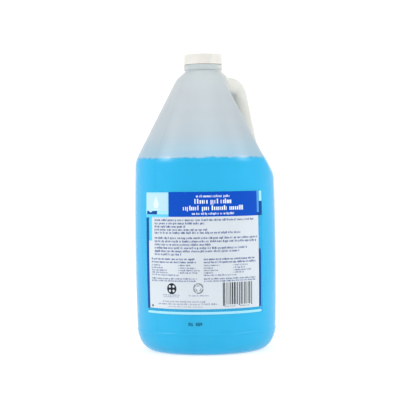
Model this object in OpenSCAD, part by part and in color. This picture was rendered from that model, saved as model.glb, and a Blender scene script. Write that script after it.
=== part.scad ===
// Round four-litre refill jug for lens cleaner: blow-moulded body with a hollow grip,
// screw cap with a liner disc, blue contents and a film label round the front.
// Frame: origin at the centre of the base ring, +Z up the jug, label facing -Y.

/* [Body] */
// Largest diameter of the body, halfway up the wall
body_d = 154.4; // [146:0.2:162]
// How much smaller the radius is at the ends of the wall than at its middle
barrel_bulge = 1.1; // [0.4:0.1:2]
// Height of the middle of the wall, where the body is widest
barrel_mid_z = 109; // [100:1:120]
// Height at which the wall ends and the heel begins
heel_z = 25.5; // [20:0.5:30]
// How far the heel draws in from the wall to the ring it stands on
heel_in = 19; // [14:0.5:24]
// Height at which the wall would meet the cone if the shoulder were sharp
shoulder_z = 207.4; // [200:0.2:215]
// Radius that rounds the shoulder
shoulder_round = 24; // [12:1:30]
// Slope of the cone, measured from upright
cone_lean = 27.5; // [24:0.5:30]
// Height at which the cone turns in towards the neck
cone_top_z = 296.5; // [290:0.5:298]
// Slope of the flare between cone and neck, measured from upright
flare_lean = 49; // [42:1:56]
// Thickness of the moulded wall
wall = 1.0; // [0.8:0.1:1.6]

/* [Base] */
// Inner radius of the ring that the jug stands on
ring_inner_r = 52; // [46:1:54]
// Height of the hollow under the base
push_up = 5; // [3:0.5:8]

/* [Neck] */
// Outer radius of the neck below its bead
neck_r = 19.7; // [19:0.1:20.2]
// Outer radius of the bead round the neck
bead_r = 20.9; // [20.5:0.1:21.4]
// Height of the underside of the bead
bead_z = 306.3; // [306:0.1:307]
// Height of the top of the bead
bead_top_z = 312; // [311.5:0.1:312]
// Height of the sealing rim
rim_z = 321.4; // [321:0.1:322]
// Outer radius of the neck between the threads
finish_r = 17.4; // [17.2:0.1:17.6]
// Radius of the mouth
mouth_r = 15.2; // [14.5:0.1:15.6]

/* [Thread] */
// Rise of the thread in one turn, six turns to the inch
thread_pitch = 4.233; // [4.2:0.001:4.3]
// How far the neck's thread stands out of the neck
neck_thread_depth = 1.2; // [0.9:0.1:1.2]
// How far the cap's thread stands in from the skirt
cap_thread_depth = 1.1; // [0.8:0.05:1.15]
// Free space between the touching flanks of the two threads
thread_gap = 0.15; // [0.1:0.05:0.4]

/* [Grip] */
// Direction of the grip round the jug, from +X towards +Y
grip_turn = 45; // [0:5:90]
// Thickness of the grip, measured out from the jug's axis
grip_thick = 20; // [18:0.5:21]
// Width of the grip across the fingers
grip_w = 26; // [22:0.5:30]
// Radius on the long edges of the grip
grip_round = 9; // [5:0.5:10]
// Lean of the grip's straight leg, measured from upright
grip_lean = 14.3; // [10:0.1:18]
// Radius of the outside of the grip's elbow
elbow_r = 23; // [22.5:0.5:28]
// Distance of the elbow's centre from the jug's axis
elbow_x = 38.3; // [36:0.1:40]
// Height of the top of the grip
grip_top_z = 299.3; // [297:0.1:300]

/* [Finger recess] */
// Distance of the recess's steep face from the axis, at its top
face_top_x = 8.5; // [7:0.5:18]
// Height of the top of that face
face_top_z = 290; // [262:1:292]
// Distance of the steep face from the axis, at its foot
face_foot_x = 26; // [22:0.5:30]
// Height of the foot of that face
face_foot_z = 209; // [206:1:214]
// Distance from the axis at which the sloping floor turns level
floor_x = 54; // [48:1:58]
// Height of the level part of the floor
floor_z = 195; // [192:1:198]
// Slope of the recess's roof, measured from level
roof_slope = 8; // [5:1:45]

/* [Cap] */
// Outer radius of the cap's skirt at its foot
cap_r = 20.9; // [20.7:0.1:21.4]
// How much smaller the cap's radius is at its top
cap_taper = 0.4; // [0:0.1:0.6]
// Inner radius of the cap's skirt
cap_bore_r = 18.9; // [18.8:0.05:19.2]
// Height of the cap's skirt foot
cap_z = 312.5; // [312.3:0.1:313]
// Height of the top of the cap
cap_top_z = 323.6; // [323.4:0.1:324.5]
// Thickness of the cap's top
cap_top_thick = 1.1; // [0.9:0.1:1.1]
// Radius on the cap's upper edge
cap_round = 0.9; // [0.4:0.1:1]
// Thickness of the liner disc
liner_thick = 1.0; // [0.6:0.1:1]
// Radius of the liner disc
liner_r = 18.6; // [18:0.1:18.7]

/* [Contents] */
// Height of the liquid's surface
liquid_z = 210.5; // [40:0.5:280]

/* [Label] */
// Height of the label's lower edge
label_z = 44.8; // [35:0.2:60]
// Height of the label's upper edge
label_top_z = 174.5; // [150:0.5:180]
// Angle that the label covers round the jug
label_angle = 107; // [80:1:140]
// Turn of the label's middle away from the front, in degrees
label_turn = -1.4; // [-10:0.1:10]
// Thickness of the label film
label_thick = 0.15; // [0.1:0.05:0.3]

/* [Hidden] */
body_r = body_d / 2;
// radius of the ring of points used for every turned shape
turned_fn = 180;
// free space between the contents and the wall, between wall and film, and under the liner
skin_gap = 0.05;
// steps on a rounded corner, and along the barrel wall
corner_steps = 8;
barrel_steps = 16;
// the wall starts to curve into the shoulder this far below the sharp corner
shoulder_start_z = shoulder_z - shoulder_round * tan(cone_lean / 2);
barrel_reach = barrel_mid_z - heel_z;
shoulder_r = barrel_r(shoulder_start_z);
cone_top_r = shoulder_r - (cone_top_z - shoulder_z) * tan(cone_lean);
neck_start_z = cone_top_z + (cone_top_r - neck_r) / tan(flare_lean);
// slope of the recess's two inclined faces, as outward directions of the cutter
face_dir = 180 + atan((face_foot_x - face_top_x) / (face_top_z - face_foot_z));
floor_dir = 270 - atan((face_foot_z - floor_z) / (floor_x - face_foot_x));
roof_dir = 90 + roof_slope;
recess_reach = 100;
// trapezium of each thread: half its width where it leaves the wall, and at its crest
neck_thread_half = [1.2, 0.6];
cap_thread_half = [0.85, 0.45];
neck_thread_z = 313.9;
neck_thread_angle = 450;
cap_thread_start = 110;
cap_thread_angle = 360;
thread_step = 7.5;
thread_run_out = 30;
thread_root = 0.4;
// the cap's thread bears on the underside of the neck's thread
thread_drop = (neck_thread_half[0] + neck_thread_half[1] + cap_thread_half[0] + cap_thread_half[1]) / 2
    + thread_gap;

// unit direction at an angle in a profile's plane
function toward(a) = [cos(a), sin(a)];

// Radius of the slightly barrelled wall at height z
function barrel_r(z) = body_r - barrel_bulge * pow((z - barrel_mid_z) / barrel_reach, 2);

// Rounded corner at the point v, between faces whose outward directions are a1 and a2.
// inset moves both faces inwards by that much and keeps the rounding's centre.
function corner(v, a1, a2, r, inset = 0) =
    let(s = sign(a2 - a1))
    let(centre = v - s * r / cos((a2 - a1) / 2) * toward((a1 + a2) / 2))
    [for (i = [0:corner_steps]) centre + (s * r - inset) * toward(a1 + (a2 - a1) * i / corner_steps)];

// Underside: the hollow in the middle, the ring that the jug stands on, and the heel
function base_outline(inset) =
    let(slope_dir = -125)
    let(slope_run = push_up * tan(180 + slope_dir) / pow(tan(180 + slope_dir), 2))
    let(heel_r = barrel_r(heel_z))
    concat(
        [[0, push_up + inset]],
        corner([ring_inner_r - slope_run, push_up], -90, slope_dir, 5, inset),
        corner([ring_inner_r, 0], slope_dir, -90, 4, inset),
        [for (a = [0:7.5:90]) [heel_r - heel_in + (heel_in - inset) * sin(a), heel_z - (heel_z - inset) * cos(a)]]
    );

// Wall and shoulder, up to the foot of the neck
function wall_outline(inset) =
    concat(
        [for (i = [1:barrel_steps - 1])
            let(z = heel_z + (shoulder_start_z - heel_z) * i / barrel_steps) [barrel_r(z) - inset, z]],
        corner([shoulder_r, shoulder_z], 0, cone_lean, shoulder_round, inset),
        corner([cone_top_r, cone_top_z], cone_lean, flare_lean, 9, inset)
    );

// Neck above the flare: groove, bead, and the plain wall that carries the thread
function neck_outline() =
    concat(
        corner([neck_r, neck_start_z], flare_lean, 0, 1.5),
        corner([bead_r, bead_z], -75, 0, 1),
        corner([bead_r, bead_top_z], 0, 90, 1),
        [[finish_r, bead_top_z]],
        corner([finish_r, rim_z], 0, 90, 0.5),
        [[0, rim_z]]
    );

// Inside of the neck: a straight bore from the narrowed flare up past the rim
function mouth_outline(inset) =
    let(flare_end_z = cone_top_z + (cone_top_r - inset / cos(flare_lean) - mouth_r) / tan(flare_lean))
    [[mouth_r, flare_end_z], [mouth_r, rim_z + 1], [0, rim_z + 1]];

// Steep-faced hollow behind the grip, drawn in the grip's own plane
function recess_outline(inset) =
    concat(
        [[recess_reach, face_top_z + (recess_reach - face_top_x) * tan(roof_slope) + inset]],
        corner([face_top_x, face_top_z], roof_dir, face_dir, 10, -inset),
        corner([face_foot_x, face_foot_z], face_dir, floor_dir, 14, -inset),
        corner([floor_x, floor_z], floor_dir, 270, 20, -inset),
        [[recess_reach, floor_z - inset]]
    );

// Section of the grip: a rectangle with rounded corners, built from true arcs
module grip_section(inset) {
    half_t = grip_thick / 2 - inset;
    half_w = grip_w / 2 - inset;
    r = grip_round - inset;
    union() {
        square([2 * half_t, 2 * (half_w - r)], center = true);
        square([2 * (half_t - r), 2 * half_w], center = true);
        for (x = [-1, 1], y = [-1, 1])
            translate([x * (half_t - r), y * (half_w - r)]) circle(r = r, $fn = 48);
    }
}

// Grip: a level bridge from the neck, an elbow, and a leg down to the shoulder
module grip(inset = 0) {
    mid_r = elbow_r - grip_thick / 2;
    intersection() {
        translate([elbow_x, 0, grip_top_z - elbow_r]) rotate([90, 0, 0]) {
            rotate([0, 0, grip_lean])
                rotate_extrude(angle = 90 - grip_lean, $fn = turned_fn)
                    translate([mid_r, 0]) grip_section(inset);
            rotate([0, 0, grip_lean])
                translate([mid_r, 0, 0]) rotate([90, 0, 0])
                    linear_extrude(height = 100) grip_section(inset);
            rotate([0, 0, 90])
                translate([mid_r, 0, 0]) rotate([-90, 0, 0])
                    linear_extrude(height = elbow_x - 4) grip_section(inset);
        }
        // the leg dies into the shoulder just inside the wall
        translate([0, 0, 185 + inset])
            cylinder(r = shoulder_r - 0.5 - inset, h = 150, $fn = turned_fn);
    }
}

module recess(inset) {
    rotate([90, 0, 0])
        linear_extrude(height = 2 * body_r, center = true) polygon(recess_outline(inset));
}

// Body of the jug drawn inwards by inset, as a solid
module jug_form(inset) {
    rotate([0, 0, grip_turn]) {
        difference() {
            rotate_extrude($fn = turned_fn)
                polygon(concat(base_outline(inset), wall_outline(inset),
                    inset == 0 ? neck_outline() : mouth_outline(inset)));
            recess(inset);
        }
        grip(inset);
    }
}

// One thread: a trapezium swept up a helix, sinking into its wall at both ends.
// root_r lies inside the wall, crest_r is the tip, half holds the half widths of the two.
module thread(root_r, crest_r, half, start_z, start_angle, sweep) {
    rings = round(sweep / thread_step);
    points = [for (i = [0:rings])
        let(a = sweep * i / rings)
        let(fade = min(1, (a + 4) / thread_run_out, (sweep - a + 4) / thread_run_out))
        let(tip_r = root_r + (crest_r - root_r) * fade)
        let(z = start_z + thread_pitch * (start_angle + a) / 360)
        for (p = [[root_r, -half[0]], [tip_r, -half[1] * fade], [tip_r, half[1] * fade], [root_r, half[0]]])
            [p[0] * cos(start_angle + a), p[0] * sin(start_angle + a), z + p[1]]];
    // the trapezium runs the other way round when its crest points inwards
    out = crest_r > root_r;
    sides = [for (i = [0:rings - 1], j = [0:3])
        let(a = 4 * i + j, b = 4 * i + (j + 1) % 4)
        each out ? [[a, b, b + 4], [a, b + 4, a + 4]] : [[b, a, b + 4], [b + 4, a, a + 4]]];
    last = 4 * rings;
    ends = out
        ? [[3, 2, 1, 0], [last, last + 1, last + 2, last + 3]]
        : [[0, 1, 2, 3], [last + 3, last + 2, last + 1, last]];
    polyhedron(points, concat(sides, ends), convexity = 6);
}

module jug() {
    color([0.86, 0.9, 0.93]) {
        difference() {
            jug_form(0);
            jug_form(wall);
        }
        thread(finish_r - thread_root, finish_r + neck_thread_depth, neck_thread_half,
            neck_thread_z, 0, neck_thread_angle);
    }
}

module screw_cap() {
    top_r = cap_r - cap_taper;
    color([0.93, 0.93, 0.9]) {
        rotate_extrude($fn = turned_fn)
            polygon(concat(
                [[cap_bore_r, cap_z], [cap_r, cap_z]],
                corner([top_r, cap_top_z], 0, 90, cap_round),
                [[0, cap_top_z], [0, cap_top_z - cap_top_thick], [cap_bore_r, cap_top_z - cap_top_thick]]
            ));
        thread(cap_bore_r + thread_root, cap_bore_r - cap_thread_depth, cap_thread_half,
            neck_thread_z - thread_drop, cap_thread_start, cap_thread_angle);
    }
}

module cap_liner() {
    color([0.97, 0.97, 0.96])
        translate([0, 0, rim_z + skin_gap])
            cylinder(r = liner_r, h = liner_thick, $fn = turned_fn);
}

module lens_fluid() {
    color([0.24, 0.72, 0.92])
        intersection() {
            jug_form(wall + skin_gap);
            cylinder(r = body_r, h = liquid_z, $fn = turned_fn);
        }
}

module front_label() {
    steps = 12;
    function film_edge(i) = label_z + (label_top_z - label_z) * i / steps;
    color([0.85, 0.89, 0.92])
        rotate([0, 0, -90 - label_angle / 2 + label_turn])
            rotate_extrude(angle = label_angle, $fn = turned_fn)
                polygon(concat(
                    [for (i = [0:steps]) [barrel_r(film_edge(i)) + skin_gap, film_edge(i)]],
                    [for (i = [steps:-1:0]) [barrel_r(film_edge(i)) + skin_gap + label_thick, film_edge(i)]]
                ));
}

jug();
screw_cap();
cap_liner();
lens_fluid();
front_label();
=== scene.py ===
"""Looks of the lens cleaner refill jug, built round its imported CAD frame.

Blender's units are metres, with +Z up and the label facing -Y. The shape functions
work in millimetres, and mesh_object() turns their points into metres.
"""
import math

import bpy
import numpy as np
from mathutils import Matrix, Vector


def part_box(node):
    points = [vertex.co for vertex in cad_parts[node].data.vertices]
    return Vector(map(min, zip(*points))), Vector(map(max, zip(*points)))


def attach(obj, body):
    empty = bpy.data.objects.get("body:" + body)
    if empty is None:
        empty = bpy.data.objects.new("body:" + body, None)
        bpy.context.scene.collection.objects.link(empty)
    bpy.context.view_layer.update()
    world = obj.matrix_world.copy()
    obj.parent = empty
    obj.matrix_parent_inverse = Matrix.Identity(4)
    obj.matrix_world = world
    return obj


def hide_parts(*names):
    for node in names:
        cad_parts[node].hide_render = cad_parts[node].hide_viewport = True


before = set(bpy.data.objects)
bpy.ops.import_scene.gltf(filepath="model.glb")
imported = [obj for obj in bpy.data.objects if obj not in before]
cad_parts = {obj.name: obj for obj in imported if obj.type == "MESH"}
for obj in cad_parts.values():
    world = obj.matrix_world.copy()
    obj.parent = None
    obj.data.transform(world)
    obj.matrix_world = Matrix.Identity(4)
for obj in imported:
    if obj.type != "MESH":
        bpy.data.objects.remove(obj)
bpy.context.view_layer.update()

MM = 0.001


def node_box(name):
    """Lowest and highest corner of a CAD node, in millimetres."""
    low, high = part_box(name)
    return np.array(low) / MM, np.array(high) / MM


# ---------------------------------------------------------------- sizes, in millimetres
jug_low, jug_high = node_box("jug")
cap_low, cap_high = node_box("screw_cap")
liner_low, liner_high = node_box("cap_liner")
label_low, label_high = node_box("front_label")

# the visual pieces stay this much inside the CAD ones
BODY_INSET = 0.03
CAP_INSET = 0.02
LINER_INSET = 0.005

BODY_R = min(jug_high[0], -jug_low[0]) - BODY_INSET
BARREL_BULGE = 1.1
BARREL_MID_Z = 109.0
HEEL_Z = 25.5
HEEL_IN = 19.0
HEEL_RIDGE = 0.6
HEEL_RIDGE_INSET = 0.15
HEEL_RIDGE_HALF = 1.3
HEEL_RIDGE_DROP = 3.2
SHOULDER_Z = 207.4
SHOULDER_ROUND = 24.0
CONE_LEAN = 27.5
CONE_TOP_Z = 296.5
FLARE_LEAN = 49.0
FLARE_ROUND = 9.0
WALL = 1.0
RING_INNER_R = 52.0
PUSH_UP = 5.0
PUSH_UP_SLOPE = 35
PUSH_UP_ROUND = 5.0
RING_ROUND = 4.0

NECK_R = 19.7
BEAD_R = 20.9
BEAD_Z = 306.3
BEAD_TOP_Z = 312.3
RIM_Z = jug_high[2]
FINISH_R = 17.4
MOUTH_R = 15.2
NECK_ROUND = 1.5
BEAD_ROUND = 1.0
LIP_ROUND = 0.5
MOUTH_CUT_LOW = 15.0
MOUTH_CUT_HIGH = 3.0

PITCH = 4.233
NECK_THREAD_Z = 313.9
NECK_THREAD_SWEEP = 450
NECK_THREAD_HALF = (1.2, 0.6)
NECK_THREAD_DEPTH = 1.2
CAP_THREAD_START = 110
CAP_THREAD_SWEEP = 360
CAP_THREAD_HALF = (0.85, 0.45)
CAP_THREAD_DEPTH = 1.1
THREAD_GAP = 0.15
THREAD_SOFTEN = 0.85
THREAD_RUN_OUT = 30
THREAD_DROP = (sum(NECK_THREAD_HALF) + sum(CAP_THREAD_HALF)) / 2 + THREAD_GAP

GRIP_THICK = 20.0
GRIP_W = 26.0
GRIP_ROUND = 9.5
GRIP_LEAN = 16.2
ELBOW_R = 23.0
ELBOW_X = 38.3
ELBOW_Z = 276.3
GRIP_START = 5.0
GRIP_START_ROUND = 4.0
GRIP_FILLET = 6.0
GRIP_SINK = 0.3

FACE_TOP = (8.5, 290.0)
FACE_FOOT = (26.0, 209.0)
FLOOR_EDGE = (54.0, 195.0)
ROOF_SLOPE = 8.0
ROOF_ROUND = 9.0
FLOOR_ROUND = 12.0
RIM_ROUND = 8.0
RECESS_FILLET = 11.0

LIQUID_Z = node_box("lens_fluid")[1][2]
FLUID_GAP = 0.25
LIQUID_FLAT_DROP = 1.3
MENISCUS_RISE = 1.25
MENISCUS_REACH = 0.8

SEAM_HALF_W = 0.32
SEAM_H = 0.11
PINCH_HALF_W = 0.9
PINCH_H = 0.7
PINCH_REACH = 44

CAP_TAPER = 0.4
CAP_BORE_R = 18.9
CAP_TOP_THICK = 1.1
CAP_THREAD_OUT_R = 19.8
CAP_THREAD_MID_Z = 317.3
CAP_THREAD_REACH = 4.6
PRESSED = 0.16

barrel_reach = BARREL_MID_Z - HEEL_Z
shoulder_start_z = SHOULDER_Z - SHOULDER_ROUND * math.tan(math.radians(CONE_LEAN / 2))


def barrel_r(z):
    """Radius of the slightly barrelled wall at height z."""
    return BODY_R - BARREL_BULGE * ((z - BARREL_MID_Z) / barrel_reach) ** 2


shoulder_r = barrel_r(shoulder_start_z)
cone_top_r = shoulder_r - (CONE_TOP_Z - SHOULDER_Z) * math.tan(math.radians(CONE_LEAN))
neck_start_z = CONE_TOP_Z + (cone_top_r - NECK_R) / math.tan(math.radians(FLARE_LEAN))


# ---------------------------------------------------------------- outlines
def corner(v, a1, a2, r, steps=10):
    """Rounded corner at v between faces whose outward directions are a1 and a2, in degrees."""
    side = 1 if a2 > a1 else -1
    half = math.radians(a2 - a1) / 2
    mid = math.radians(a1 + a2) / 2
    cx = v[0] - side * r / math.cos(half) * math.cos(mid)
    cz = v[1] - side * r / math.cos(half) * math.sin(mid)
    angles = np.radians(np.linspace(a1, a2, steps + 1))
    return [(cx + side * r * math.cos(a), cz + side * r * math.sin(a)) for a in angles]


def jug_outline():
    """Half section of the jug without grip, recess and thread, from the base's centre to the rim's."""
    heel_r = barrel_r(HEEL_Z)
    slope_run = PUSH_UP / math.tan(math.radians(PUSH_UP_SLOPE))
    points = [(0, PUSH_UP)]
    points += corner((RING_INNER_R - slope_run, PUSH_UP), -90, -90 - PUSH_UP_SLOPE, PUSH_UP_ROUND)
    points += corner((RING_INNER_R, 0), -90 - PUSH_UP_SLOPE, -90, RING_ROUND)
    for a in np.radians(np.arange(0, 81, 5)):
        points.append((heel_r - HEEL_IN + HEEL_IN * math.sin(a), HEEL_Z * (1 - math.cos(a))))
    # a low ridge runs round the jug where the wall meets the heel
    for a in np.radians(np.arange(0, 181, 20)):
        ridge_z = HEEL_Z - HEEL_RIDGE_DROP + HEEL_RIDGE_HALF * (1 - math.cos(a))
        points.append((heel_r - HEEL_RIDGE_INSET + HEEL_RIDGE * math.sin(a), ridge_z))
    for z in np.linspace(HEEL_Z + 5, shoulder_start_z - 4, 28):
        points.append((barrel_r(z), z))
    points += corner((shoulder_r, SHOULDER_Z), 0, CONE_LEAN, SHOULDER_ROUND, 14)
    points += corner((cone_top_r, CONE_TOP_Z), CONE_LEAN, FLARE_LEAN, FLARE_ROUND)
    points += corner((NECK_R, neck_start_z), FLARE_LEAN, 0, NECK_ROUND)
    points += corner((BEAD_R, BEAD_Z), -75, 0, BEAD_ROUND)
    points += corner((BEAD_R, BEAD_TOP_Z), 0, 90, BEAD_ROUND)
    points += [(FINISH_R, BEAD_TOP_Z)]
    points += corner((FINISH_R, RIM_Z), 0, 90, LIP_ROUND)
    points += [(0, RIM_Z)]
    return np.array(points)


def outline_distance(r, z, outline):
    """Signed distance from points (r, z) to an outline that starts and ends on the axis."""
    shape = np.shape(r)
    r, z = np.ravel(r), np.ravel(z)
    nearest = np.full(r.size, 1e9)
    inside = np.zeros(r.size, bool)
    for (r0, z0), (r1, z1) in zip(outline[:-1], outline[1:]):
        dr, dz = r1 - r0, z1 - z0
        along = np.clip(((r - r0) * dr + (z - z0) * dz) / (dr * dr + dz * dz + 1e-12), 0, 1)
        nearest = np.minimum(nearest, (r - r0 - along * dr) ** 2 + (z - z0 - along * dz) ** 2)
        if z0 != z1:
            crosses = (z0 > z) != (z1 > z)
            inside ^= crosses & (r < r0 + (z - z0) * dr / dz)
    distance = np.sqrt(nearest)
    return np.where(inside, -distance, distance).reshape(shape)


class OutlineField:
    """Signed distance to an outline: read from a fine table on big grids, exact elsewhere."""

    STEP = 0.5
    BIG = 300000

    def __init__(self, outline, reach_r, low_z, high_z):
        self.outline = outline
        self.low_z = low_z
        r = np.arange(0, reach_r + self.STEP, self.STEP)
        z = np.arange(low_z, high_z + self.STEP, self.STEP)
        self.table = outline_distance(*np.meshgrid(r, z, indexing="ij"), outline)

    def __call__(self, r, z):
        if np.size(r) < self.BIG:
            return outline_distance(r, z, self.outline)
        fr = np.clip(r / self.STEP, 0, self.table.shape[0] - 1.001)
        fz = np.clip((z - self.low_z) / self.STEP, 0, self.table.shape[1] - 1.001)
        i, j = fr.astype(int), fz.astype(int)
        u, v = fr - i, fz - j
        t = self.table
        return (t[i, j] * (1 - u) * (1 - v) + t[i + 1, j] * u * (1 - v)
                + t[i, j + 1] * (1 - u) * v + t[i + 1, j + 1] * u * v)


# ---------------------------------------------------------------- solid shapes as distances
def smooth_min(a, b, width):
    """The lesser of two distances, blended where they differ by less than width."""
    h = np.maximum(width - np.abs(a - b), 0)
    return np.minimum(a, b) - h * h / (4 * width)


def smooth_max(a, b, width):
    """The greater of two distances, blended in the same way."""
    return -smooth_min(-a, -b, width)


def half_plane(x, z, point, direction):
    """Signed distance to the edge through point whose outward direction is given in degrees."""
    a = math.radians(direction)
    return (x - point[0]) * math.cos(a) + (z - point[1]) * math.sin(a)


def recess_distance(x, z):
    """Finger recess behind the grip: a roof, a steep face, a sloping floor and a level rim."""
    face_lean = math.atan((FACE_FOOT[0] - FACE_TOP[0]) / (FACE_TOP[1] - FACE_FOOT[1]))
    floor_fall = math.atan((FACE_FOOT[1] - FLOOR_EDGE[1]) / (FLOOR_EDGE[0] - FACE_FOOT[0]))
    roof = half_plane(x, z, FACE_TOP, 90 + ROOF_SLOPE)
    face = half_plane(x, z, FACE_FOOT, 180 + math.degrees(face_lean))
    slope = half_plane(x, z, FACE_FOOT, 270 - math.degrees(floor_fall))
    rim = half_plane(x, z, FLOOR_EDGE, 270)
    upper = smooth_max(face, roof, ROOF_ROUND)
    return smooth_max(smooth_max(upper, slope, FLOOR_ROUND), rim, RIM_ROUND)


def grip_distance(x, y, z):
    """Grip: a level bridge, an elbow and a leaning leg, all of one rounded section."""
    lean = math.radians(GRIP_LEAN)
    px, pz = x - ELBOW_X, z - ELBOW_Z
    down_leg = px * math.sin(lean) - pz * math.cos(lean)
    out_leg = px * math.cos(lean) + pz * math.sin(lean)
    straight = np.maximum(np.where(px <= 0, pz, -1e3), np.where(down_leg >= 0, out_leg, -1e3))
    across = np.where((px > 0) & (down_leg < 0), np.hypot(px, pz), straight) - (ELBOW_R - GRIP_THICK / 2)
    qx = np.abs(across) - (GRIP_THICK / 2 - GRIP_ROUND)
    qy = np.abs(y) - (GRIP_W / 2 - GRIP_ROUND)
    return np.hypot(np.maximum(qx, 0), np.maximum(qy, 0)) + np.minimum(np.maximum(qx, qy), 0) - GRIP_ROUND


def smooth_step(t):
    """Eases from 0 to 1 as t does."""
    t = np.clip(t, 0, 1)
    return t * t * (3 - 2 * t)


def thread_rise(x, y, z, start_z, start_angle, sweep, half, depth):
    """How far a rounded thread stands out of its wall at each point."""
    turn = np.degrees(np.arctan2(y, x)) % 360
    rise = np.zeros(np.shape(z))
    for lap in range(3):
        angle = turn + 360 * lap - start_angle
        off = np.abs(z - start_z - PITCH * (turn + 360 * lap) / 360)
        run_out = smooth_step(np.minimum(angle, sweep - angle) / THREAD_RUN_OUT)
        rise = np.maximum(rise, depth * run_out * smooth_step((half[0] - off) / (half[0] - half[1])))
    return rise


jug_section = OutlineField(jug_outline(), 96, -6, 330)


def plain_jug(x, y, z):
    """Outside of the jug without its thread. The grip lies midway between +X and +Y."""
    r = np.hypot(x, y)
    out, side = (x + y) / math.sqrt(2), (y - x) / math.sqrt(2)
    body = smooth_max(jug_section(r, z), -recess_distance(out, z), RECESS_FILLET)
    grip = np.maximum(grip_distance(out, side, z), r - (shoulder_r - GRIP_SINK))
    grip = smooth_max(grip, GRIP_START - out, GRIP_START_ROUND)
    joined = smooth_min(body, grip, GRIP_FILLET)
    # the grip's foot lies flush with the wall below it
    wall_r = np.where(z < shoulder_start_z, barrel_r(z), shoulder_r)
    return np.maximum(joined, np.where(z > HEEL_Z + 10, r - wall_r, -1e3))


def jug_outside(x, y, z):
    """Outside of the jug with its thread."""
    rise = thread_rise(x, y, z, NECK_THREAD_Z, 0, NECK_THREAD_SWEEP,
                       NECK_THREAD_HALF, NECK_THREAD_DEPTH)
    return plain_jug(x, y, z) - THREAD_SOFTEN * rise


def jug_hollow(x, y, z, clearance=0.0):
    """Inside of the jug, opening through the mouth."""
    r = np.hypot(x, y)
    inside = plain_jug(x, y, z) + WALL + clearance
    flare = math.radians(FLARE_LEAN)
    flare_end_z = CONE_TOP_Z + (cone_top_r - WALL / math.cos(flare) - MOUTH_R) / math.tan(flare)
    below_flare = (r - MOUTH_R) * math.cos(flare) + (z - flare_end_z) * math.sin(flare)
    bore = r - MOUTH_R + clearance
    inside = np.maximum(inside, np.minimum(bore, below_flare))
    mouth = np.maximum(bore, np.maximum(RIM_Z - MOUTH_CUT_LOW - z, z - RIM_Z - MOUTH_CUT_HIGH))
    return np.minimum(inside, mouth)


def fluid_body(x, y, z):
    """The contents, level at the top."""
    return np.maximum(jug_hollow(x, y, z, FLUID_GAP), z - (LIQUID_Z - LIQUID_FLAT_DROP))


# ---------------------------------------------------------------- meshing
def settle(points, distance, rounds=4):
    """Moves points onto the surface where distance is zero, along its slope."""
    step = 0.02
    for _ in range(rounds):
        x, y, z = points.T
        here = distance(x, y, z)
        slope = np.stack([
            distance(x + step, y, z) - distance(x - step, y, z),
            distance(x, y + step, z) - distance(x, y - step, z),
            distance(x, y, z + step) - distance(x, y, z - step),
        ], 1) / (2 * step)
        size = np.maximum((slope ** 2).sum(1), 0.25)
        move = slope * (here / size)[:, None]
        length = np.linalg.norm(move, axis=1, keepdims=True)
        points = points - move * np.minimum(1, 1.0 / np.maximum(length, 1e-9))
    return points


def surface_net(distance, r_levels, z_levels, angles):
    """Points and faces where distance is zero, on a grid wound round the Z axis."""
    a, r, z = np.meshgrid(angles, r_levels, z_levels, indexing="ij")
    grid = np.stack([r * np.cos(a), r * np.sin(a), z], -1)
    value = distance(grid[..., 0], grid[..., 1], grid[..., 2])
    value[-1] = value[0]
    solid = value < 0
    na, nr, nz = len(angles) - 1, len(r_levels) - 1, len(z_levels) - 1
    corners = [(i, j, k) for i in (0, 1) for j in (0, 1) for k in (0, 1)]
    count = sum(solid[i:na + i, j:nr + j, k:nz + k].astype(int) for i, j, k in corners)
    cells = np.argwhere((count > 0) & (count < 8))
    total = np.zeros((len(cells), 3))
    hits = np.zeros(len(cells))
    for p, first in enumerate(corners):
        for second in corners[p + 1:]:
            if sum(abs(u - v) for u, v in zip(first, second)) != 1:
                continue
            ia, ib = tuple((cells + first).T), tuple((cells + second).T)
            va, vb = value[ia], value[ib]
            cut = (va < 0) != (vb < 0)
            t = np.where(cut, va / np.where(cut, va - vb, 1), 0)[:, None]
            total += np.where(cut[:, None], grid[ia] + t * (grid[ib] - grid[ia]), 0)
            hits += cut
    points = total / hits[:, None]
    index = np.full((na, nr, nz), -1)
    index[tuple(cells.T)] = np.arange(len(cells))

    faces = []

    def add(at, ring, flip):
        """Quads round the grid edges listed in at; ring gives the four cells as offsets."""
        quad = []
        for di, dj, dk in ring:
            i, j, k = (at[:, 0] + di) % na, at[:, 1] + dj, at[:, 2] + dk
            quad.append(index[i, j, k])
        quad = np.stack(quad, 1)
        quad[flip] = quad[flip][:, ::-1]
        faces.extend(quad.tolist())

    cut = solid[:na, :-1, 1:-1] != solid[:na, 1:, 1:-1]
    at = np.argwhere(cut) + (0, 0, 1)
    add(at, [(-1, 0, -1), (0, 0, -1), (0, 0, 0), (-1, 0, 0)], ~solid[tuple(at.T)])
    cut = solid[:na, 1:-1, :-1] != solid[:na, 1:-1, 1:]
    at = np.argwhere(cut) + (0, 1, 0)
    add(at, [(-1, -1, 0), (-1, 0, 0), (0, 0, 0), (0, -1, 0)], ~solid[tuple(at.T)])
    cut = solid[:na, 1:-1, 1:-1] != solid[1:, 1:-1, 1:-1]
    at = np.argwhere(cut) + (0, 1, 1)
    add(at, [(0, -1, -1), (0, -1, 0), (0, 0, 0), (0, 0, -1)], ~solid[tuple(at.T)])

    # the innermost cells leave a hole round the axis, closed by a fan
    for k in np.argwhere(solid[0, 0, :-1] != solid[0, 0, 1:]).ravel():
        ring = index[:, 0, k]
        centre = len(points)
        points = np.vstack([points, points[ring].mean(0)])
        for i in range(na):
            edge = [int(ring[i]), int(ring[(i + 1) % na])]
            faces.append(edge + [centre] if solid[0, 0, k] else edge[::-1] + [centre])
    return settle(points, distance), faces


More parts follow.
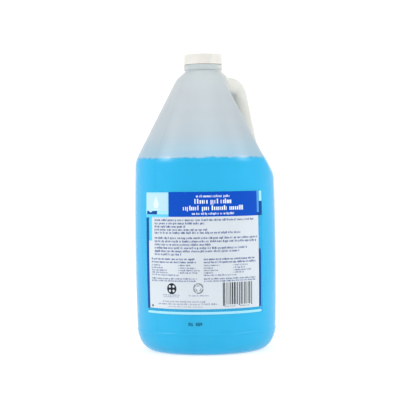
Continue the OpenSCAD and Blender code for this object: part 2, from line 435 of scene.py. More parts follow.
def mesh_object(name, points, faces):
    """A smooth shaded object from points in millimetres."""
    mesh = bpy.data.meshes.new(name)
    mesh.from_pydata((np.asarray(points) * MM).tolist(), [], faces)
    mesh.update()
    obj = bpy.data.objects.new(name, mesh)
    bpy.context.scene.collection.objects.link(obj)
    mesh.shade_smooth()
    return obj


def apply_modifiers(obj):
    """Replaces an object's mesh with its evaluated one."""
    graph = bpy.context.evaluated_depsgraph_get()
    baked = bpy.data.meshes.new_from_object(obj.evaluated_get(graph))
    obj.modifiers.clear()
    obj.data = baked


def sharpen(obj, degrees):
    """Keeps the edges sharp where faces meet at more than this angle."""
    obj.data.set_sharp_from_angle(angle=math.radians(degrees))


def hollow_out(obj, inside):
    """Takes the inside away from an object."""
    cut = obj.modifiers.new("hollow", "BOOLEAN")
    cut.operation = "DIFFERENCE"
    cut.solver = "MANIFOLD"
    cut.object = inside
    apply_modifiers(obj)
    bpy.data.objects.remove(inside)
    obj.data.shade_smooth()


def levels(*spans):
    """Grid levels from (start, step) pairs and a last end."""
    marks = []
    for (start, step), following in zip(spans[:-1], spans[1:]):
        end = following[0]
        marks += np.linspace(start, end, max(1, round((end - start) / step)), endpoint=False).tolist()
    return np.array(marks + [spans[-1][0]])


def round_angles(turns):
    """Even angles round the axis, ending where they start."""
    return 2 * math.pi * np.arange(turns + 1) / turns


def grip_angles(fine, coarse):
    """Angles round the jug, in steps of fine degrees near the grip and coarse ones elsewhere."""
    near = np.linspace(-15, 105, round(120 / fine), endpoint=False)
    far = np.linspace(105, 345, round(240 / coarse), endpoint=False)
    return np.radians(np.concatenate([near, far, [345]]))


def lathe(name, outline, turns):
    """Solid turned from a half section that starts and ends on the axis."""
    points = [(0, 0, outline[0][1]), (0, 0, outline[-1][1])]
    faces = []
    rings = outline[1:-1]
    for r, z in rings:
        for i in range(turns):
            a = 2 * math.pi * i / turns
            points.append((r * math.cos(a), r * math.sin(a), z))
    for i in range(turns):
        j = (i + 1) % turns
        faces.append((0, 2 + j, 2 + i))
        last = 2 + turns * (len(rings) - 1)
        faces.append((1, last + i, last + j))
        for k in range(len(rings) - 1):
            low = 2 + turns * k
            faces.append((low + i, low + j, low + turns + j, low + turns + i))
    return mesh_object(name, points, faces)


# ---------------------------------------------------------------- jug
# a hollow shell: the outside with its thread, less the inside
shell = mesh_object("jug_shell", *surface_net(
    jug_outside,
    levels((2.5, 2.5), (12.5, 0.6), (23, 2.1), (80, 1)),
    levels((-1, 1.0), (10, 1.6), (20, 0.55), (27, 1.5), (36, 6.0), (174, 2.0), (299, 0.45), (324, 1)),
    grip_angles(1.5, 2.5),
))
hollow_out(shell, mesh_object("jug_inside", *surface_net(
    jug_hollow,
    levels((3, 3), (12, 1.1), (19, 2.3), (80, 1)),
    levels((-0.3, 1.1), (12, 2), (36, 7), (174, 2.2), (299, 1.2), (326, 1)),
    grip_angles(1.6, 3),
)))
sharpen(shell, 50)


def strip_solid(path, half_width, height):
    """Points and faces of a low rounded ridge along a path of (point, outward direction) pairs."""
    section = ((-1, -0.1), (-0.6, 0.7), (0, 1), (0.6, 0.7), (1, -0.1))
    wide = len(section)
    points, faces = [], []
    for (here, out), (before, _), (after, _) in zip(path[1:-1], path[:-2], path[2:]):
        along = np.subtract(after, before)
        side = np.cross(along, out)
        side /= np.linalg.norm(side)
        for across, up in section:
            points.append(np.add(here, side * across * half_width + np.array(out) * up * height))
    n = len(points) // wide
    for k in range(n - 1):
        for i in range(wide):
            j = (i + 1) % wide
            faces.append((wide * k + i, wide * k + j, wide * k + wide + j, wide * k + wide + i))
    faces.append(tuple(reversed(range(wide))))
    faces.append(tuple(wide * (n - 1) + i for i in range(wide)))
    return points, faces


def seam_path(azimuth, low, high, steps):
    """Points up the wall at one azimuth, each with the direction out of the wall."""
    direction = np.array([math.cos(math.radians(azimuth)), math.sin(math.radians(azimuth)), 0])
    reach = np.linspace(0, 82, 1641)
    x, y, _ = (direction * reach[:, None]).T
    path = []
    for z in np.linspace(low, high, steps):
        value = plain_jug(x, y, np.full(reach.shape, z))
        path.append((direction * reach[value < 0].max() + (0, 0, z), direction))
    return path


def pinch_path(steps):
    """Points across the pushed-up base, in the plane where the mould parts."""
    path = []
    for t in np.linspace(-PINCH_REACH, PINCH_REACH, steps):
        point = np.array([t, t, 0]) / math.sqrt(2) + (0, 0, PUSH_UP - 0.02)
        path.append((point, np.array([0, 0, -1.0])))
    return path


# parting seam of the blow mould, in the grip's plane, on the jug's two sides
seams = []
for number, (azimuth, low, high) in enumerate(((225, 8, 305), (45, 8, 292))):
    path = seam_path(azimuth, low, high, 110)
    seams.append(mesh_object(f"mould_seam_{number}", *strip_solid(path, SEAM_HALF_W, SEAM_H)))
seams.append(mesh_object("base_pinch_ridge", *strip_solid(pinch_path(45), PINCH_HALF_W, PINCH_H)))

# ---------------------------------------------------------------- contents
fluid = mesh_object("blue_cleaner", *surface_net(
    fluid_body,
    levels((4, 4), (56, 2.2), (80, 1)),
    levels((-0.3, 1.3), (12, 2), (36, 7), (174, 2.4), (LIQUID_Z + 2, 1)),
    grip_angles(2.2, 3),
))


def raise_rim(obj):
    """Makes the liquid climb a little where it wets the wall."""
    spots = np.array([v.co for v in obj.data.vertices]) / MM
    depths = -jug_hollow(*spots.T, FLUID_GAP)
    for v, spot, depth in zip(obj.data.vertices, spots, depths):
        if spot[2] > LIQUID_Z - LIQUID_FLAT_DROP - 0.3 and depth < 2:
            v.co.z += MENISCUS_RISE * MM * math.exp(-max(depth, 0) / MENISCUS_REACH)


raise_rim(fluid)
sharpen(fluid, 50)

# ---------------------------------------------------------------- cap and liner
cap_r = cap_high[0] - CAP_INSET
cap_z, cap_top = cap_low[2], cap_high[2]


def cap_outline():
    """Half section of the cap without its thread."""
    top_r = cap_r - CAP_TAPER
    inner_z = cap_top - CAP_TOP_THICK
    dish_z = cap_top - 0.2
    gate_z = cap_top - 0.42
    # a thin ring under the top holds the liner
    points = [(0, inner_z), (16.2, inner_z), (16.5, inner_z - 0.25), (16.8, inner_z), (CAP_BORE_R, inner_z)]
    points += [(CAP_BORE_R, cap_z + 0.6), (CAP_BORE_R + 0.5, cap_z), (cap_r - 0.1, cap_z)]
    # a narrow foot ring, then the smooth tapered skirt
    points += [(cap_r, cap_z + 0.1), (cap_r, cap_z + 0.75), (cap_r - 0.17, cap_z + 0.95)]
    points += corner((top_r, cap_top), 2, 90, 0.95)
    # top dished inside a low rim, with the moulding gate in the middle
    points += [(top_r - 2.0, cap_top), (top_r - 2.6, cap_top - 0.14), (3.4, dish_z)]
    points += [(2.9, gate_z), (1.3, gate_z), (1.0, dish_z), (0.5, cap_top - 0.12), (0, cap_top - 0.12)]
    return np.array(points)


cap_section = cap_outline()


def cap_form(x, y, z):
    """The cap with its thread."""
    r = np.hypot(x, y)
    body = outline_distance(r, z, cap_section)
    rise = thread_rise(x, y, z, NECK_THREAD_Z - THREAD_DROP, CAP_THREAD_START, CAP_THREAD_SWEEP,
                       CAP_THREAD_HALF, CAP_THREAD_DEPTH)
    limits = np.maximum(r - CAP_THREAD_OUT_R, np.abs(z - CAP_THREAD_MID_Z) - CAP_THREAD_REACH)
    thread = np.maximum(THREAD_SOFTEN * (CAP_BORE_R - rise - r), limits)
    return np.minimum(body, thread)


cap = mesh_object("cap_moulding", *surface_net(
    cap_form,
    levels((0.25, 0.35), (4, 1.6), (15, 0.36), (21.6, 1)),
    levels((cap_z - 0.7, 0.3), (cap_top + 0.5, 1)),
    round_angles(200),
))
sharpen(cap, 42)


def liner_outline():
    """Half section of the liner. The rim has pressed a shallow ring into the foam."""
    r = liner_high[0] - CAP_INSET
    low, high = liner_low[2] + LINER_INSET, liner_high[2] - LINER_INSET
    points = [(0, low), (MOUTH_R - 1.2, low), (MOUTH_R - 0.2, low + 0.05), (MOUTH_R, low + PRESSED)]
    points += [(FINISH_R, low + PRESSED), (FINISH_R + 0.2, low + 0.05), (r - 0.25, low)]
    points += [(r, low + 0.25), (r - 0.04, (low + high) / 2), (r, high - 0.25), (r - 0.25, high), (0, high)]
    return points


liner = lathe("liner_disc", liner_outline(), 120)
sharpen(liner, 40)

# ---------------------------------------------------------------- materials
def rgb(red, green, blue):
    """Linear colour from display values out of 255."""
    def linear(value):
        value /= 255
        return value / 12.92 if value <= 0.04045 else ((value + 0.055) / 1.055) ** 2.4
    return linear(red), linear(green), linear(blue), 1.0


class Finish:
    """A Principled material with helpers for its node tree."""

    def __init__(self, name, **values):
        self.material = bpy.data.materials.new(name)
        self.material.use_nodes = True
        self.tree = self.material.node_tree
        self.shader = self.tree.nodes["Principled BSDF"]
        self.place = self.add("ShaderNodeTexCoord").outputs["Object"]
        for key, value in values.items():
            self.shader.inputs[key.replace("_", " ")].default_value = value

    def add(self, kind, **settings):
        """New node with its settings."""
        node = self.tree.nodes.new(kind)
        for key, value in settings.items():
            setattr(node, key, value)
        return node

    def link(self, source, target):
        self.tree.links.new(source, target)

    def feed(self, name, source):
        self.link(source, self.shader.inputs[name])

    def noise(self, scale, detail, stretch=(1, 1, 1)):
        """Soft noise from 0 to 1, stretched along the axes."""
        spread = self.add("ShaderNodeMapping")
        spread.inputs["Scale"].default_value = stretch
        self.link(self.place, spread.inputs["Vector"])
        node = self.add("ShaderNodeTexNoise")
        node.inputs["Scale"].default_value = scale
        node.inputs["Detail"].default_value = detail
        self.link(spread.outputs["Vector"], node.inputs["Vector"])
        return node.outputs["Fac"]

    def ramp(self, factor, *stops):
        """Values or colours at positions from 0 to 1."""
        node = self.add("ShaderNodeValToRGB")
        marks = node.color_ramp.elements
        while len(marks) < len(stops):
            marks.new(0.5)
        for mark, (position, colour) in zip(marks, stops):
            mark.position = position
            mark.color = colour if isinstance(colour, tuple) else (colour, colour, colour, 1)
        self.link(factor, node.inputs["Fac"])
        return node.outputs["Color"]

    def mottle(self, name, scale, detail, low, high):
        """Soft patches between two values, fed to an input."""
        self.feed(name, self.ramp(self.noise(scale, detail), (0.3, low), (0.7, high)))

    def mix(self, factor, first, second, blend="MIX"):
        """Two colours mixed by a factor."""
        node = self.add("ShaderNodeMix", data_type="RGBA", blend_type=blend)
        sockets = [i for i in node.inputs if i.enabled]
        for socket, value in zip(sockets, (factor, first, second)):
            if isinstance(value, bpy.types.NodeSocket):
                self.link(value, socket)
            else:
                socket.default_value = value
        return [o for o in node.outputs if o.enabled][0]

    def times(self, first, second):
        """One colour darkened by another."""
        return self.mix(1.0, first, second, "MULTIPLY")

    def span(self, source, low, high):
        """0 to 1 as source runs from low to high."""
        node = self.add("ShaderNodeMapRange")
        node.inputs["From Min"].default_value = low
        node.inputs["From Max"].default_value = high
        self.link(source, node.inputs["Value"])
        return node.outputs["Result"]

    def math(self, operation, *values):
        """Result of a sum of sockets or numbers."""
        node = self.add("ShaderNodeMath", operation=operation)
        for socket, value in zip(node.inputs, values):
            if isinstance(value, bpy.types.NodeSocket):
                self.link(value, socket)
            else:
                socket.default_value = value
        return node.outputs["Value"]

    def vector(self, operation, source, value=(0, 0, 0), output="Vector"):
        """Result of a vector sum."""
        node = self.add("ShaderNodeVectorMath", operation=operation)
        self.link(source, node.inputs[0])
        node.inputs[1].default_value = value
        return node.outputs[output]

    def axis(self, name, source=None):
        """One axis of a vector, or of the place on the object."""
        node = self.add("ShaderNodeSeparateXYZ")
        self.link(self.place if source is None else source, node.inputs["Vector"])
        return node.outputs[name]

    def bump(self, height, strength, distance):
        """Fine relief from a height from 0 to 1."""
        node = self.add("ShaderNodeBump")
        node.inputs["Strength"].default_value = strength
        node.inputs["Distance"].default_value = distance
        self.link(height, node.inputs["Height"])
        self.feed("Normal", node.outputs["Normal"])


def tinted(colour, amount):
    """A colour made lighter or darker."""
    return tuple(min(1, c * amount) for c in colour[:3]) + (1.0,)


CONE_SPAN = (0.20, 0.325)  # heights in metres, from the shoulder to the rim
BARREL_SPAN = (0.0, 0.21)  # heights in metres, from the ground to the shoulder
GRIP_DIRECTION = (0.7071, 0.7071, 0)
FACE_LEAN = -0.216  # the recess face draws in by this much for each unit of height
FACE_REACH = 0.0712  # how far out the recess face would be at the ground, in metres


def dry_tone_and_painted_light(hdpe, height):
    """Colour above the liquid: bluer at the shoulder as a painted glow from the liquid, lighter and greyer
    on the grip partly as painted light, darker at the sides as painted shade.
    """
    # painted glow: the wall is painted bluer just above the waterline, where the liquid's light shines up
    # into the plastic
    tone = hdpe.ramp(
        hdpe.span(height, *CONE_SPAN),
        (0.0, rgb(161, 206, 233)), (0.14, rgb(178, 209, 225)), (0.3, rgb(196, 209, 217)),
        (0.6, rgb(202, 211, 216)), (1.0, rgb(211, 220, 221)),
    )
    # the grip is painted lighter and greyer: partly the plastic's own warmer tone, partly painted light
    # that offsets the shade of the finger recess
    outward = hdpe.vector("DOT_PRODUCT", hdpe.place, GRIP_DIRECTION, "Value")
    face = hdpe.math("MULTIPLY_ADD", height, FACE_LEAN, FACE_REACH)
    on_grip = hdpe.span(hdpe.math("SUBTRACT", outward, face), -0.006, 0.009)
    tone = hdpe.mix(on_grip, tone, rgb(238, 239, 232))
    # painted shade: the wall is painted darker where it turns towards the left and right sides
    round_dir = hdpe.vector("NORMALIZE", hdpe.vector("MULTIPLY", hdpe.place, (1, 1, 0)))
    sideways = hdpe.math("ABSOLUTE", hdpe.axis("X", round_dir))
    return hdpe.times(tone, hdpe.ramp(sideways, (0.3, 0.975), (1.0, 0.86)))


def wet_tone(hdpe, height):
    """Colour of the wall where the liquid shows through."""
    return hdpe.ramp(
        hdpe.span(height, *BARREL_SPAN),
        (0.0, rgb(40, 202, 247)), (0.5, rgb(38, 200, 247)), (1.0, rgb(40, 200, 247)),
    )


def natural_polyethylene():
    """The jug's plastic: milky when dry, clearer where the liquid wets it."""
    hdpe = Finish(
        "natural_polyethylene", IOR=1.52, Specular_IOR_Level=0.46,
        Sheen_Weight=0.16, Sheen_Roughness=0.35, Sheen_Tint=rgb(214, 208, 222),
    )
    height = hdpe.axis("Z")
    # drops and froth left by the last slosh make the waterline ragged
    ragged = hdpe.math("MULTIPLY_ADD", hdpe.noise(120, 3), 0.005, -0.0025)
    waterline = hdpe.math("ADD", height, ragged)
    above = hdpe.span(waterline, (LIQUID_Z - 1.0) * MM, (LIQUID_Z + 0.6) * MM)
    tone = hdpe.mix(above, wet_tone(hdpe, height), dry_tone_and_painted_light(hdpe, height))
    cloud = hdpe.ramp(hdpe.noise(16, 4, (1, 1, 0.35)), (0.3, 0.96), (0.7, 1.0))
    streaks = hdpe.ramp(hdpe.noise(11, 4, (0.5, 0.5, 5)), (0.35, 0.975), (0.65, 1.0))
    hdpe.feed("Base Color", hdpe.times(hdpe.times(tone, cloud), streaks))
    hold = hdpe.mix(above, (0.5, 0.5, 0.5, 1), (0.74, 0.74, 0.74, 1))
    wall_cloud = hdpe.ramp(hdpe.noise(22, 3, (1, 1, 0.3)), (0.3, 0.0), (0.7, 0.05))
    hdpe.feed("Alpha", hdpe.mix(1.0, hold, wall_cloud, "ADD"))
    hdpe.mottle("Roughness", 60, 2, 0.28, 0.34)
    hdpe.bump(hdpe.noise(260, 2), 0.05, 0.0002)
    return hdpe


def blue_lens_cleaner():
    """The contents."""
    cleaner = Finish("blue_lens_cleaner", Roughness=0.08, IOR=1.34)
    # painted shade: the liquid is painted a little darker towards the bottom
    tone = cleaner.ramp(
        cleaner.span(cleaner.axis("Z"), *BARREL_SPAN),
        (0.0, rgb(28, 198, 250)), (0.6, rgb(30, 200, 250)), (1.0, rgb(34, 202, 250)),
    )
    swirl = cleaner.ramp(cleaner.noise(9, 2, (1, 1, 0.5)), (0.3, 0.96), (0.7, 1.0))
    cleaner.feed("Base Color", cleaner.times(tone, swirl))
    return cleaner


def cap_polypropylene():
    """The cap's white plastic."""
    closure = Finish("cap_polypropylene", IOR=1.49, Subsurface_Weight=0.08, Subsurface_Scale=0.004)
    closure.mottle("Base Color", 70, 4, rgb(210, 208, 201), rgb(219, 217, 211))
    closure.mottle("Roughness", 120, 2, 0.34, 0.44)
    closure.bump(closure.noise(900, 3), 0.1, 0.0001)
    return closure


def polyethylene_foam():
    """The liner's foam."""
    foam = Finish("polyethylene_foam", Roughness=0.8, IOR=1.45)
    foam.mottle("Base Color", 300, 4, rgb(216, 219, 220), rgb(240, 241, 240))
    foam.bump(foam.noise(1500, 4), 0.5, 0.0002)
    return foam


def clear_label_film():
    """The label's film, which takes the liquid's colour."""
    film = Finish("clear_label_film", Roughness=0.3, IOR=1.5, Specular_IOR_Level=0.15)
    film.mottle("Base Color", 40, 3, rgb(60, 190, 240), rgb(70, 196, 244))
    film.mottle("Alpha", 30, 3, 0.16, 0.24)
    film.bump(film.noise(90, 2), 0.08, 0.0002)
    return film


def ink(name, colour, spread):
    """Printed ink with fine grain and slow drift in its tone."""
    finish = Finish(name, Roughness=0.35, IOR=1.5, Specular_IOR_Level=0.12)
    pale, deep = tinted(colour, 1 + spread), tinted(colour, 1 - spread)
    fine = finish.ramp(finish.noise(700, 3), (0.3, deep), (0.7, pale))
    drift = finish.ramp(finish.noise(25, 2), (0.3, 0.965), (0.7, 1.0))
    finish.feed("Base Color", finish.times(fine, drift))
    finish.bump(finish.noise(700, 2), 0.06, 0.0001)
    return finish


# ---------------------------------------------------------------- label
ART_SCALE = 0.955  # millimetres round the wall for each millimetre across the artwork
COLUMN_STEP = 1.5  # widest flat piece of a mark
ROW_STEP = 6  # tallest flat piece of a mark

# how far each layer starts and ends off the wall
FILM = (0.04, 0.09)
LAYER = (0.09, 0.125)
MARK = (0.125, 0.16)
DROP_LAYER = (0.16, 0.18)
DOT_LAYER = (0.16, 0.185)
JET_LAYER = (0.01, 0.05)

rng = np.random.default_rng(38400)


class Print:
    """Flat marks of one ink, as thin solids that follow the barrel. Places are (s, z): s is
    the artwork's distance to the right of the jug's front, z the height."""

    def __init__(self, name, finish, low, high):
        self.name, self.finish, self.low, self.high = name, finish, low, high
        self.points, self.faces = [], []

    def at(self, s, z, lift):
        """Point at a place on the artwork, lifted off the wall."""
        a = s * ART_SCALE / BODY_R
        r = barrel_r(z) + lift
        return r * math.sin(a), -r * math.cos(a), z

    def area(self, columns):
        """Area between z0 and z1 at each (s, z0, z1), in order of s."""
        rows = max(1, math.ceil(max(z1 - z0 for _, z0, z1 in columns) / ROW_STEP))
        base = len(self.points)
        wide = rows + 1
        for lift in (self.high, self.low):
            for s, z0, z1 in columns:
                for k in range(wide):
                    self.points.append(self.at(s, z0 + (z1 - z0) * k / rows, lift))
        n = len(columns)
        back = base + n * wide
        for i in range(n - 1):
            for k in range(rows):
                a, b = base + i * wide + k, base + (i + 1) * wide + k
                self.faces.append((a, b, b + 1, a + 1))
                a, b = back + i * wide + k, back + (i + 1) * wide + k
                self.faces.append((a, a + 1, b + 1, b))
            for k in (0, rows):
                a, b = base + i * wide + k, base + (i + 1) * wide + k
                c, d = back + (i + 1) * wide + k, back + i * wide + k
                self.faces.append((a, d, c, b) if k == 0 else (a, b, c, d))
        for i in (0, n - 1):
            for k in range(rows):
                a = base + i * wide + k
                c = back + i * wide + k
                self.faces.append((a, a + 1, c + 1, c) if i == 0 else (a, c, c + 1, a + 1))

    def rect(self, s0, s1, z0, z1, rounding=0.0):
        """Patch from left s0 to right s1 and bottom z0 to top z1, with rounded corners."""
        count = max(2, math.ceil((s1 - s0) / COLUMN_STEP) + 1)
        marks = set(np.linspace(s0, s1, count).round(4).tolist())
        r = min(rounding, (s1 - s0) / 2, (z1 - z0) / 2)
        if r > 0:
            for a in np.radians(np.arange(0, 90, 15)):
                marks |= {round(s0 + r - r * math.cos(a), 4), round(s1 - r + r * math.cos(a), 4)}
        columns = []
        for s in sorted(marks):
            off = max(0, r - (s - s0), r - (s1 - s))
            inset = min(r - math.sqrt(max(0, r * r - off * off)), (z1 - z0) / 2 - 0.02)
            columns.append((s, z0 + inset, z1 - inset))
        self.area(columns)

    def ring(self, s, z, r, thick, start, end):
        """Ring, drawn as short blocks from start to end degrees."""
        steps = max(4, round((end - start) / 15))
        for k in range(steps):
            a0, a1 = (math.radians(start + (end - start) * (k + t) / steps) for t in (0, 1))
            mid = (a0 + a1) / 2
            cs, cz = s + r * math.cos(mid), z + r * math.sin(mid)
            reach = r * (a1 - a0) / 2 * 1.05
            ds = abs(math.sin(mid)) * reach + abs(math.cos(mid)) * thick / 2
            dz = abs(math.cos(mid)) * reach + abs(math.sin(mid)) * thick / 2
            self.rect(cs - ds, cs + ds, cz - dz, cz + dz)

    def disc(self, s, z, r):
        """Round dot."""
        columns = []
        for a in np.radians(np.arange(174, 5, -12)):
            columns.append((s + r * math.cos(a), z - r * math.sin(a), z + r * math.sin(a)))
        self.area(columns)

    def row(self, s0, s1, z, x_height, weight, pitch):
        """Row of upright strokes in word-like groups, standing for a line of print."""
        s = s0
        while s < s1 - pitch:
            for _ in range(int(rng.integers(2, 9))):
                if s > s1 - weight:
                    break
                tall = rng.random()
                up = x_height * (1.35 if tall > 0.8 else 1.0)
                down = x_height * (0.3 if tall < 0.1 else 0.0)
                width = weight * rng.uniform(0.8, 1.5)
                self.rect(s, s + width, z - x_height / 2 - down, z - x_height / 2 + up)
                s += pitch * rng.uniform(0.8, 1.25)
            s += pitch * 0.9

    def finish_up(self):
        """The object that holds all marks of this ink."""
        obj = mesh_object(self.name, self.points, self.faces)
        obj.data.shade_flat()
        return obj


# flat patches: left, right, bottom, top and the corners' rounding
clear = Print("label_film", clear_label_film(), *FILM)
clear.rect(-77.3, 73.3, label_low[2] + 0.2, label_high[2] - 0.2, 2.0)

panel = Print("label_panel", ink("panel_print", rgb(207, 215, 222), 0.02), *LAYER)
panel.rect(-66.9, 66.4, 122.4, 148.0)
panel.rect(-72.2, 66.4, 50.8, 122.4)

header = Print("label_header", ink("header_print", rgb(0, 74, 186), 0.06), *LAYER)
header.rect(-42.3, 64.4, 148.0, 174.2)

cyan = Print("label_cyan", ink("cyan_print", rgb(92, 200, 242), 0.04), *LAYER)
cyan.rect(-77.0, -42.5, 147.1, 150.2)
cyan.rect(-71.6, -67.0, 122.4, 147.0)

navy = Print("label_navy", ink("navy_print", rgb(0, 68, 146), 0.08), *LAYER)
navy.rect(-76.9, -72.7, 50.3, 146.9)
navy.rect(66.5, 70.0, 51.2, 112.5)
navy.rect(67.9, 73.25, 151.4, 163.1)
navy.rect(64.6, 73.25, 148.2, 151.3)

strip = Print("label_side_strip", ink("strip_print", rgb(72, 152, 222), 0.05), *LAYER)
strip.rect(64.6, 67.8, 151.4, 174.6)

tile = Print("label_tile", ink("tile_print", rgb(182, 218, 232), 0.03), *MARK)
tile.rect(-75.6, -44.4, 154.4, 172.4, 0.8)


def band_column(s):
    """Slice of the pale band under the panel, whose two ends are rounded."""
    middle, half, end, draw_in = -3.0, 70.0, 4.0, 1.2
    past = max(0, (abs(s - middle) - half) / end)
    inset = draw_in * (1 - math.sqrt(max(0, 1 - past ** 2)))
    return s, 45.15 + inset, 47.8 - inset


pale = Print("label_pale", ink("pale_print", rgb(160, 220, 246), 0.03), *LAYER)
pale.rect(-77.2, -42.6, 150.4, 173.9, 1.0)
pale.rect(68.6, 72.9, 163.3, 174.2, 0.8)
pale.area([band_column(s) for s in np.linspace(-76.9, 70.9, 110)])


def tab_column(s):
    """Slice of the dark tab under the tile, with a dip in its top."""
    return s, 150.6, 154.2 - 1.7 * math.exp(-((s + 69.0) / 2.4) ** 2)


tab = Print("label_tab", ink("tab_print", rgb(0, 68, 142), 0.08), *MARK)
tab.area([tab_column(s) for s in np.linspace(-75.6, -58.5, 30)])


def drop_column(t):
    """Slice of a plain drop; t runs from -1 at its left to 1 at its right."""
    s, z, half_width, round_r, tip = -60.0, 160.6, 4.2, 3.6, 6.0
    half = round_r * math.sqrt(max(0, 1 - t * t))
    return s + half_width * t, z - half - 0.05, z + half + tip * max(0, 1 - abs(t)) ** 1.5 + 0.05


drop = Print("label_drop", ink("drop_print", rgb(214, 234, 240), 0.02), *DROP_LAYER)
drop.area([drop_column(t) for t in np.linspace(-1, 1, 25)])
drop.rect(-65.2, -54.8, 155.5, 156.1, 0.3)

# rows of strokes: each kind of type has a letter height, a stroke width and a pitch
SMALL_TITLE = (0.6, 1.3)
BIG_TITLE = (1.1, 2.3)
BODY_TYPE = (1.75, 0.58, 1.1)
HEAD_TYPE = (1.5, 0.56, 1.0)
LIST_TYPE = (1.3, 0.4, 0.9)
NOTE_TYPE = (1.3, 0.42, 0.9)
ADDRESS_TYPE = (1.3, 0.32, 0.95)
SIGN_TYPE = (0.9, 0.26, 0.8)
DIGIT_TYPE = (1.0, 0.3, 0.95)

white = Print("label_title_lines", ink("white_print", rgb(232, 240, 250), 0.02), *MARK)
white.row(-9.8, 28.3, 169.3, 1.9, *SMALL_TITLE)
white.row(-11.6, 30.6, 163.6, 3.7, *BIG_TITLE)
white.row(-24.7, 44.2, 156.6, 3.6, *BIG_TITLE)
white.row(-14.6, 33.9, 151.0, 1.7, *SMALL_TITLE)

slate = Print("label_print", ink("slate_print", rgb(52, 78, 136), 0.1), *MARK)
# two paragraphs: the height and the right end of each line
for z, end in ((144.4, 58.6), (140.9, -0.4), (137.5, -22.2), (134.2, 2.8), (131.0, 40.4),
               (125.5, 65.0), (122.0, 61.9), (118.5, 5.8), (115.0, 49.3), (111.6, 38.7), (108.2, -26.8)):
    slate.row(-62.6, end, z, *BODY_TYPE)
# two blocks, each with a two-line heading, two short dotted lists and three lines below
for left, split, right in ((-67.9, -29.3, -9.9), (-2.2, 33.0, 61.4)):
    slate.row(left, right - 2, 103.3, *HEAD_TYPE)
    slate.row(left, right, 100.0, *HEAD_TYPE)
    for z in (96.8, 94.0, 91.5, 89.0):
        slate.row(left, left + rng.uniform(10, 25), z, *LIST_TYPE)
        slate.row(split, split + rng.uniform(10, 24), z, *LIST_TYPE)
        slate.disc(split - 1.5, z, 0.4)
    slate.row(left, left + 38, 86.4, *LIST_TYPE)
    slate.row(left, right, 82.7, *NOTE_TYPE)
    slate.row(left, right - 1, 80.3, *NOTE_TYPE)
# lines under the two signs, and three at the panel's foot
slate.row(-51.8, -28.9, 65.5, *SIGN_TYPE)
slate.row(-50.5, -30.5, 63.6, *SIGN_TYPE)
slate.row(-19.6, 2.7, 65.0, 1.0, 0.28, 0.85)
slate.row(-52, 0, 58.6, *ADDRESS_TYPE)
slate.row(-58, 12, 55.9, *ADDRESS_TYPE)
slate.row(-44, -4, 53.2, 0.8, 0.25, 0.8)

# two plain round signs: four dots on a disc, and a ring in three parts
DISC_S, DISC_Z = -39.7, 72.2
RING_S, RING_Z, SIGN_R = -8.6, 72.7, 5.0
signs = Print("label_signs", ink("black_print", rgb(34, 40, 48), 0.1), *MARK)
signs.disc(DISC_S, DISC_Z, 5.9)
signs.rect(-68.6, -66.4, 52.3, 54.5)
grey = Print("label_ring_sign", ink("grey_print", rgb(128, 138, 148), 0.08), *MARK)
for start in (10, 130, 250):
    grey.ring(RING_S, RING_Z, SIGN_R, 1.1, start, start + 88)
    grey.ring(RING_S, RING_Z, 2.9, 0.6, start + 50, start + 120)
    knob = math.radians(start + 100)
    grey.disc(RING_S + SIGN_R * math.cos(knob), RING_Z + SIGN_R * math.sin(knob), 0.8)
dots = Print("label_sign_dots", ink("dot_print", rgb(206, 214, 224), 0.03), *DOT_LAYER)
for ds, dz in ((-2.3, 2.3), (2.3, 2.3), (-2.3, -2.3), (2.3, -2.3)):
    dots.disc(DISC_S + ds, DISC_Z + dz, 1.35)


def draw_bars(bars):
    """Upright bars of several widths, the outer and middle ones longer."""
    left, right, middle = 18.6, 55.2, 36.9
    low, high, longer, unit = 55.2, 78.5, 1.2, 0.5
    s, number = left, 0
    while s < right:
        width = unit * int(rng.integers(1, 4))
        long_bar = number < 2 or s > right - 2.0 or abs(s - middle) < 1.0
        bars.rect(s, min(s + width, right + 0.2), low - (longer if long_bar else 0), high)
        s += width + unit * int(rng.integers(1, 4))
        number += 1


bars = Print("label_bars", ink("bar_print", rgb(28, 32, 40), 0.1), *MARK)
draw_bars(bars)
bars.row(20.5, 34.5, 53.4, *DIGIT_TYPE)
bars.row(39, 53, 53.4, *DIGIT_TYPE)


def draw_dots(code):
    """Ink-jet date marks in dots, five groups of three by five places."""
    low, across, up, dot_r = 33.4, 0.8, 0.72, 0.36
    for start in (-20.2, -17.6, -12.0, -9.4, -6.8):
        for column in range(3):
            for line in range(5):
                if rng.random() < 0.66:
                    code.disc(start + across * column, low + up * line, dot_r)


# on the jug itself, under the label
code = Print("date_marks", ink("date_ink", rgb(10, 66, 86), 0.1), *JET_LAYER)
draw_dots(code)

prints = [
    clear, panel, header, cyan, pale, navy, strip, tile, tab, drop,
    white, slate, signs, grey, dots, bars, code,
]

# ---------------------------------------------------------------- who rides on what
hdpe = natural_polyethylene()
for obj, finish, body, slot in (
    (shell, hdpe, "jug_body", "natural_plastic"),
    (fluid, blue_lens_cleaner(), "jug_body", "lens_fluid"),
    (cap, cap_polypropylene(), "cap", "cap_plastic"),
    (liner, polyethylene_foam(), "liner", "liner_foam"),
    *((seam, hdpe, "jug_body", "natural_plastic") for seam in seams),
    *((mark.finish_up(), mark.finish, "jug_body", "label_film") for mark in prints),
):
    obj.data.materials.clear()
    obj.data.materials.append(finish.material)
    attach(obj, body)
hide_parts("jug")
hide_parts("lens_fluid")
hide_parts("screw_cap")
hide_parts("cap_liner")
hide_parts("front_label")


# ---------------------------------------------------------------- stage, light and camera
def floor_profile():
    """(y, z) points of a floor that curves up into a wall behind the jug, in millimetres."""
    front, bend, bend_r, top, drop = -6000, 1500, 900, 4200, 0.1
    points = [(front, -drop), (bend, -drop)]
    for a in np.radians(np.arange(10, 91, 10)):
        points.append((bend + bend_r * math.sin(a), bend_r * (1 - math.cos(a)) - drop))
    return points + [(bend + bend_r, top - drop)]


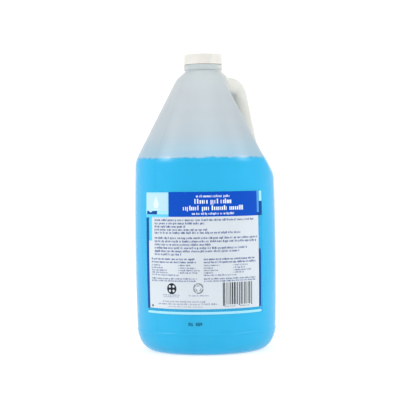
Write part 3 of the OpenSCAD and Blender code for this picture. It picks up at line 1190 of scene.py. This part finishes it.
def floor_sheet():
    """Points and faces of the floor."""
    half_width = 6000
    points, faces = [], []
    for k, (y, z) in enumerate(floor_profile()):
        points += [(-half_width, y, z), (half_width, y, z)]
        if k:
            faces.append((2 * k - 2, 2 * k - 1, 2 * k + 1, 2 * k))
    return points, faces


floor = mesh_object("floor", *floor_sheet())
paper = Finish("white_paper", Roughness=0.9, Emission_Color=(1, 1, 1, 1), Emission_Strength=0.66)
paper.mottle("Base Color", 3, 2, rgb(168, 168, 168), rgb(174, 174, 174))
floor.data.materials.append(paper.material)

world = bpy.data.worlds.new("studio")
bpy.context.scene.world = world
world.use_nodes = True
sky = world.node_tree.nodes["Background"]
sky.inputs["Color"].default_value = (1, 1, 1, 1)
sky.inputs["Strength"].default_value = 0.78

# places in metres
LIGHT_AIM = (0, 0, 0.16)
CAMERA_PLACE = (0, -1.543, 0.197)
CAMERA_AIM = (-0.00543, 0, 0.16394)
CAMERA_LEAN = 0.8


def look_at(obj, target, lean=0.0):
    """Points an object's -Z at target, its up leaning by some degrees towards +X."""
    back = (Vector(obj.location) - Vector(target)).normalized()
    up = Vector((math.sin(math.radians(lean)), 0, math.cos(math.radians(lean))))
    right = up.cross(back).normalized()
    above = back.cross(right)
    obj.rotation_euler = Matrix((right, above, back)).transposed().to_euler()


def softbox(name, azimuth, elevation, distance, size, power):
    """Area light at an azimuth from the front, positive to the right."""
    lamp = bpy.data.lights.new(name, "AREA")
    lamp.shape = "RECTANGLE"
    lamp.size, lamp.size_y = size
    lamp.energy = power
    obj = bpy.data.objects.new(name, lamp)
    a, e = math.radians(azimuth), math.radians(elevation)
    out = distance * math.cos(e)
    obj.location = (out * math.sin(a), -out * math.cos(a), LIGHT_AIM[2] + distance * math.sin(e))
    look_at(obj, LIGHT_AIM)
    bpy.context.scene.collection.objects.link(obj)


softbox("left_softbox", -72, 32, 1.5, (0.4, 0.45), 8.0)
softbox("right_softbox", 72, 32, 1.5, (0.4, 0.45), 7.0)
softbox("front_softbox", 8, 48, 1.8, (1.2, 0.7), 3.4)

eye = bpy.data.cameras.new("camera")
eye.lens = 126
eye.sensor_width = 36
camera = bpy.data.objects.new("camera", eye)
camera.location = CAMERA_PLACE
look_at(camera, CAMERA_AIM, CAMERA_LEAN)
bpy.context.scene.collection.objects.link(camera)
bpy.context.scene.camera = camera
bpy.context.scene.view_settings.view_transform = "Standard"
